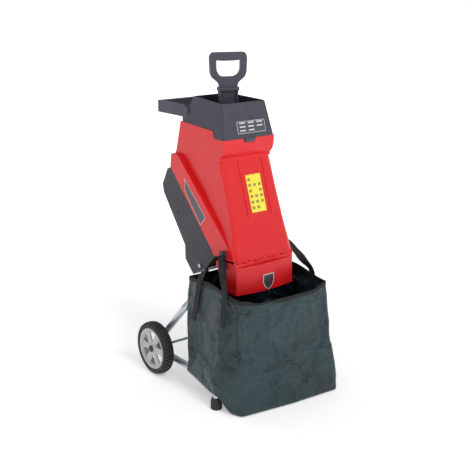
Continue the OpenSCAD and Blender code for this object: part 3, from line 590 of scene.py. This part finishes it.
def woven_cloth():
    """Coated woven cloth: crossed tapes, creases with painted shade and painted glints, and a
    little dust.
    """
    material = bpy.data.materials.new("bag_cloth")
    material.use_nodes = True
    nodes, links = material.node_tree.nodes, material.node_tree.links
    shader = nodes["Principled BSDF"]
    shader.inputs["Coat Weight"].default_value = 0.14
    shader.inputs["Coat Roughness"].default_value = 0.16
    shader.inputs["Specular IOR Level"].default_value = 0.36
    weave_map = nodes.new("ShaderNodeUVMap")
    weave_map.uv_map = "cloth"
    warp = nodes.new("ShaderNodeTexWave")
    warp.bands_direction = "X"
    warp.inputs["Scale"].default_value = 160
    weft = nodes.new("ShaderNodeTexWave")
    weft.bands_direction = "Y"
    weft.inputs["Scale"].default_value = 160
    links.new(weave_map.outputs["UV"], warp.inputs["Vector"])
    links.new(weave_map.outputs["UV"], weft.inputs["Vector"])
    tapes = nodes.new("ShaderNodeMath")
    tapes.operation = "MULTIPLY"
    links.new(warp.outputs["Fac"], tapes.inputs[0])
    links.new(weft.outputs["Fac"], tapes.inputs[1])
    place = nodes.new("ShaderNodeTexCoord")
    # crumpled facets: cells with their places stirred by a slow noise
    stir = nodes.new("ShaderNodeTexNoise")
    stir.inputs["Scale"].default_value = 7
    links.new(place.outputs["Object"], stir.inputs["Vector"])
    shifted = nodes.new("ShaderNodeMix")
    shifted.data_type = "VECTOR"
    shifted.inputs["Factor"].default_value = 0.12
    links.new(place.outputs["Object"], shifted.inputs["A"])
    links.new(stir.outputs["Color"], shifted.inputs["B"])
    facets = nodes.new("ShaderNodeTexVoronoi")
    facets.inputs["Scale"].default_value = 17
    facets.inputs["Detail"].default_value = 1.5
    links.new(shifted.outputs["Result"], facets.inputs["Vector"])
    ridges = nodes.new("ShaderNodeTexNoise")
    ridges.noise_type = "RIDGED_MULTIFRACTAL"
    ridges.inputs["Scale"].default_value = 11
    ridges.inputs["Detail"].default_value = 4
    links.new(shifted.outputs["Result"], ridges.inputs["Vector"])
    crease = nodes.new("ShaderNodeMath")
    crease.operation = "MULTIPLY_ADD"
    crease.inputs[1].default_value = 0.55
    links.new(ridges.outputs["Fac"], crease.inputs[0])
    links.new(facets.outputs["Distance"], crease.inputs[2])
    smudge = nodes.new("ShaderNodeTexNoise")
    smudge.inputs["Scale"].default_value = 9
    smudge.inputs["Detail"].default_value = 5
    links.new(place.outputs["Object"], smudge.inputs["Vector"])
    smudged = nodes.new("ShaderNodeMapRange")
    smudged.inputs["From Min"].default_value = 0.52
    smudged.inputs["From Max"].default_value = 0.75
    smudged.inputs["To Max"].default_value = 0.55
    links.new(smudge.outputs["Fac"], smudged.inputs["Value"])
    # the cloth's colour follows the crease pattern that also drives the fold bump: painted shade
    # in its hollows, painted light on its ridges
    fold_shade_share = nodes.new("ShaderNodeMapRange")
    fold_shade_share.inputs["From Min"].default_value = 0.2
    fold_shade_share.inputs["From Max"].default_value = 1.6
    links.new(crease.outputs["Value"], fold_shade_share.inputs["Value"])
    shade = nodes.new("ShaderNodeMix")
    shade.data_type = "RGBA"
    shade.inputs["A"].default_value = (0.006, 0.025, 0.030, 1)
    shade.inputs["B"].default_value = (0.022, 0.056, 0.063, 1)
    links.new(fold_shade_share.outputs["Result"], shade.inputs["Factor"])
    worn = nodes.new("ShaderNodeMix")
    worn.data_type = "RGBA"
    worn.inputs["B"].default_value = (0.022, 0.021, 0.023, 1)
    links.new(smudged.outputs["Result"], worn.inputs["Factor"])
    links.new(shade.outputs["Result"], worn.inputs["A"])
    # painted glints: the sharpest creases are painted pale, a painted highlight along their ridges
    painted_glint_share = nodes.new("ShaderNodeMapRange")
    painted_glint_share.inputs["From Min"].default_value = 1.45
    painted_glint_share.inputs["From Max"].default_value = 1.85
    painted_glint_share.inputs["To Max"].default_value = 0.6
    links.new(crease.outputs["Value"], painted_glint_share.inputs["Value"])
    painted_glints = nodes.new("ShaderNodeMix")
    painted_glints.data_type = "RGBA"
    painted_glints.inputs["B"].default_value = (0.22, 0.30, 0.31, 1)
    links.new(painted_glint_share.outputs["Result"], painted_glints.inputs["Factor"])
    links.new(worn.outputs["Result"], painted_glints.inputs["A"])
    links.new(painted_glints.outputs["Result"], shader.inputs["Base Color"])
    gloss = nodes.new("ShaderNodeMapRange")
    gloss.inputs["To Min"].default_value = 0.24
    gloss.inputs["To Max"].default_value = 0.46
    links.new(tapes.outputs["Value"], gloss.inputs["Value"])
    links.new(gloss.outputs["Result"], shader.inputs["Roughness"])
    folds = nodes.new("ShaderNodeBump")
    folds.inputs["Distance"].default_value = 0.020
    folds.inputs["Strength"].default_value = 1.0
    links.new(crease.outputs["Value"], folds.inputs["Height"])
    threads = nodes.new("ShaderNodeBump")
    threads.inputs["Distance"].default_value = 0.0004
    links.new(tapes.outputs["Value"], threads.inputs["Height"])
    links.new(folds.outputs["Normal"], threads.inputs["Normal"])
    links.new(threads.outputs["Normal"], shader.inputs["Normal"])
    return material


bag_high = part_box("bag_shell")[1]
BAG_REAR = bag_high.y
BAG_RIM_Z = bag_high.z + 0.008
FLOOR_GAP = 0.0015


def lerp(a, b, t):
    """The value a share t of the way from a to b."""
    return a + (b - a) * t


def ease(a, b, v):
    """Rises smoothly from 0 at a to 1 at b."""
    t = min(1, max(0, (v - a) / (b - a)))
    return t * t * (3 - 2 * t)


def bag_point(turn, fall):
    """A point of the bag's wall: turn goes round it from the back, fall from rim to hem."""
    half_top_rear, half_top_front = 0.170, 0.163
    # corners of the plan, anticlockwise from the middle of the back; the bag sits a little
    # askew, so that its right front corner stands further out
    rear = BAG_REAR + 0.011 * math.sin(math.pi * min(1, fall * 1.15))
    wide_rear = lerp(half_top_rear, 0.186, fall)
    wide_mid = lerp(half_top_rear, 0.2145, ease(0, 0.9, fall))
    left_front = Vector((-lerp(half_top_front + 0.002, 0.181, fall), lerp(-0.240, -0.264, fall)))
    right_front = Vector((lerp(half_top_front, 0.184, fall), lerp(-0.256, -0.300, fall)))
    corners = [Vector((0, rear)), Vector((wide_rear, rear)), Vector((wide_mid, -0.168)),
               right_front, (left_front + right_front) / 2 - Vector((0, 0.007)),
               left_front, Vector((-wide_mid, -0.168)),
               Vector((-wide_rear, rear)), Vector((0, rear))]
    spans = [(b - a).length for a, b in zip(corners, corners[1:])]
    along = turn * sum(spans)
    for a, b, span in zip(corners, corners[1:], spans):
        if along <= span or b is corners[-1]:
            return a.lerp(b, min(1, along / span))
        along -= span


def hem_height(x, y):
    """Height of the bottom edge: on the floor in front, over the frame rails behind."""
    return lerp(0.004, lerp(0.050, 0.058, ease(-0.15, 0.0, y)), ease(-0.232, -0.170, y))


def rim_height(x, y):
    """Height of the rim: it sags between its corners and rises under the straps."""
    side = ease(0.10, 0.16, abs(x))
    lifted = math.exp(-((y + 0.10) / 0.07) ** 2) * 0.010 * side
    front_sag = (1 - side) * ease(-0.05, -0.24, y) * 0.016
    return BAG_RIM_Z - 0.012 * ease(-0.05, -0.25, y) + lifted - front_sag


AROUND = 288
DOWN = 90
WALL_SHARE = 0.72
CORNER_STEP = 0.007
clear_selection()
bpy.ops.mesh.primitive_grid_add(x_subdivisions=AROUND, y_subdivisions=DOWN, size=1)
bag = bpy.context.object
bag.name = "catch_bag"
columns = AROUND + 1
for index, vertex in enumerate(bag.data.vertices):
    turn = (index % columns) / AROUND
    fall = (index // columns) / DOWN
    # the last rows turn under the bag as its floor
    wall = min(1, fall / WALL_SHARE)
    under = max(0, (fall - WALL_SHARE) / (1 - WALL_SHARE))
    flat = bag_point(turn, wall)
    x, y = flat.x, flat.y
    z = lerp(rim_height(x, y), hem_height(x, y), wall)
    # rounded vertical corners: pull each point a little to the middle of its neighbours
    ahead = bag_point((turn + CORNER_STEP) % 1, wall)
    behind = bag_point((turn - CORNER_STEP) % 1, wall)
    x, y = lerp(x, (ahead.x + behind.x) / 2, 0.5), lerp(y, (ahead.y + behind.y) / 2, 0.5)
    if under > 0:
        centre = Vector((0, -0.13))
        x, y = lerp(x, centre.x, under * 0.985), lerp(y, centre.y, under * 0.985)
        z = max(0.003, hem_height(x, y)) + 0.018 * ease(0.0, 0.35, under) * ease(-0.22, -0.15, y)
    vertex.co = (x, y, z)
cloth_map = bag.data.uv_layers.active or bag.data.uv_layers.new()
cloth_map.name = "cloth"
for loop in bag.data.loops:
    turn = (loop.vertex_index % columns) / AROUND
    fall = (loop.vertex_index // columns) / DOWN
    cloth_map.data[loop.index].uv = (turn * 1.22, fall * 0.5)
bpy.ops.object.mode_set(mode="EDIT")
bpy.ops.mesh.select_all(action="SELECT")
bpy.ops.mesh.remove_doubles(threshold=0.0004)
bpy.ops.mesh.normals_make_consistent(inside=False)
bpy.ops.object.mode_set(mode="OBJECT")

# Creases: ridged folds that run mostly up and down, damped at the rim.
for vertex in bag.data.vertices:
    p = vertex.co.copy()
    depth = ease(0.0, 0.10, BAG_RIM_Z - p.z)
    folds = 1 - abs(noise.noise(Vector((p.x * 8, p.y * 8, p.z * 3.5)))) * 2
    slant = 1 - abs(noise.noise(Vector(((p.x + p.z) * 9, p.y * 8 + 5, (p.z - p.x) * 5)))) * 2
    broad = noise.noise(Vector((p.x * 5 + 7, p.y * 5, p.z * 4)))
    small = 1 - abs(noise.noise(Vector((p.x * 26, p.y * 26 + 3, p.z * 17)))) * 2
    push = 0.0050 * (folds - 0.6) + 0.0055 * (slant - 0.6) + 0.006 * broad + 0.0018 * (small - 0.6)
    push *= 0.2 + 0.8 * depth
    near_floor = ease(0.0, 0.045, p.z - hem_height(p.x, p.y))
    moved = p + vertex.normal * push * near_floor
    moved.z = max(FLOOR_GAP, moved.z)
    vertex.co = moved
bag.data.materials.append(woven_cloth())
bpy.ops.object.shade_smooth()

# The cloth is a little larger than the frame it hangs in, so it buckles into folds: the
# rim, the bottom and what lies on the rails are held, and the walls fall between them.
CLOTH_THICKNESS = 0.0008
DRAPE_FRAMES = 22
DRAPE_LIMIT = 0.007
held = bag.vertex_groups.new(name="held")
for vertex in bag.data.vertices:
    below_rim = rim_height(vertex.co.x, vertex.co.y) - vertex.co.z
    inner = abs(vertex.co.x) < 0.14 and vertex.co.y > -0.22
    sewn = abs(vertex.co.x) > 0.15 and -0.20 < vertex.co.y < -0.01 and vertex.co.z > 0.24
    above_hem = vertex.co.z - hem_height(vertex.co.x, vertex.co.y)
    fixed = below_rim < 0.012 or above_hem < 0.012 or (vertex.co.z < 0.085 and inner)
    weight = 1.0 if fixed or sewn else max(0.0, 0.9 - vertex.co.z * 4)
    if weight > 0:
        held.add([vertex.index], weight, "REPLACE")
before = [vertex.co.copy() for vertex in bag.data.vertices]
drape = bag.modifiers.new("drape", "CLOTH")
drape.settings.vertex_group_mass = "held"
drape.settings.pin_stiffness = 1.5
drape.settings.quality = 6
drape.settings.mass = 0.25
drape.settings.tension_stiffness = 30
drape.settings.compression_stiffness = 30
drape.settings.shear_stiffness = 12
drape.settings.bending_stiffness = 12
drape.settings.shrink_min = -0.012
drape.collision_settings.use_collision = False
drape.point_cache.frame_start = 1
drape.point_cache.frame_end = DRAPE_FRAMES
for step in range(1, DRAPE_FRAMES + 1):
    scene.frame_set(step)
bpy.context.view_layer.objects.active = bag
bpy.ops.object.modifier_apply(modifier="drape")
for vertex, start in zip(bag.data.vertices, before):
    move = vertex.co - start
    if move.length > DRAPE_LIMIT:
        move *= DRAPE_LIMIT / move.length
    place = start + move
    place.z = max(FLOOR_GAP, place.z)
    vertex.co = place
bag.vertex_groups.clear()
scene.frame_set(1)
thick = bag.modifiers.new("thick", "SOLIDIFY")
thick.thickness = CLOTH_THICKNESS
thick.offset = 0
bpy.ops.object.modifier_apply(modifier="thick")
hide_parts("bag_shell")
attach(bag, "chassis")

# The black tape folded over the rim and stitched through.
webbing = moulded_plastic(
    "webbing", (0.008, 0.008, 0.009), (0.035, 0.034, 0.037), 0.55, 1600, 0.00025, spread=0.4)


def ribbon(name, centres, sides, width, thickness, closed=False):
    """A flat band along centres, spread to both sides of them, with its real thickness."""
    clear_selection()
    steps = len(centres)
    bpy.ops.mesh.primitive_grid_add(x_subdivisions=steps - (0 if closed else 1),
                                    y_subdivisions=4, size=1)
    band = bpy.context.object
    band.name = name
    per_row = steps + (1 if closed else 0)
    for index, vertex in enumerate(band.data.vertices):
        step, row = index % per_row, index // per_row
        vertex.co = centres[step % steps] + sides[step % steps] * width * (row / 4 - 0.5)
    bpy.ops.object.mode_set(mode="EDIT")
    bpy.ops.mesh.select_all(action="SELECT")
    bpy.ops.mesh.remove_doubles(threshold=0.0002)
    bpy.ops.object.mode_set(mode="OBJECT")
    bpy.ops.object.shade_smooth()
    body = band.modifiers.new("body", "SOLIDIFY")
    body.thickness = thickness
    body.offset = 0
    bpy.ops.object.modifier_apply(modifier="body")
    band.data.materials.append(webbing)
    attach(band, "chassis")
    return band


RIM_STEPS = 240
BINDING_WIDTH = 0.012
STRAP_WIDTH = 0.024
rim_centres, rim_sides = [], []
for step in range(RIM_STEPS):
    turn = step / RIM_STEPS
    flat = bag_point(turn, 0)
    ahead = bag_point((turn + CORNER_STEP) % 1, 0)
    behind = bag_point((turn - CORNER_STEP) % 1, 0)
    flat = flat.lerp((ahead + behind) / 2, 0.5)
    out = Vector((flat.x, flat.y + 0.12, 0)).normalized()
    spot = Vector((flat.x, flat.y, rim_height(flat.x, flat.y) - 0.004))
    rim_centres.append(spot + out * 0.0004)
    rim_sides.append(Vector((0, 0, 1)))
binding = ribbon("rim_binding", rim_centres, rim_sides, BINDING_WIDTH, 0.0040, closed=True)
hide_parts("bag_binding")

# Two webbing loops, each sewn low on the bag's side and passed over its hook.


def smooth_path(points, steps):
    """Points along a smooth curve through the given ones."""
    path = []
    padded = [points[0]] + points + [points[-1]]
    for a, b, c, d in zip(padded, padded[1:], padded[2:], padded[3:]):
        for step in range(steps):
            t = step / steps
            path.append(0.5 * (2 * b + (c - a) * t + (2 * a - 5 * b + 4 * c - d) * t * t
                               + (3 * b - a - 3 * c + d) * t ** 3))
    path.append(points[-1])
    return path


for side, sign in (("left", -1), ("right", 1)):
    route = [Vector((sign * x / 1000, y / 1000, z / 1000)) for x, y, z in (
        (190, -33, 246), (184, -38, 300), (179, -44, 350), (174, -50, 386), (161, -60, 412),
        (137, -84, 453), (131, -98, 463), (139, -112, 453), (162, -150, 406),
        (174, -172, 380), (181, -177, 345), (188, -181, 300), (192, -184, 268))]
    path = smooth_path(route, 6)
    across = []
    for here, there in zip(path, path[1:] + [path[-1] * 2 - path[-2]]):
        along = (there - here).normalized()
        # flat on the bag's side, and turned to lie over the hook
        on_side = along.cross(Vector((sign, 0, 0.15)).normalized()).normalized()
        over_hook = Vector((1, 0, 0)) if on_side.cross(along).x * sign < 0 else Vector((-1, 0, 0))
        over_hook = (over_hook - along * over_hook.dot(along)).normalized()
        turned = ease(0.385, 0.440, here.z)
        across.append(on_side.lerp(over_hook * -sign, turned).normalized())
    ribbon(side + "_strap", path, across, STRAP_WIDTH, 0.0016)
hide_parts("bag_straps")
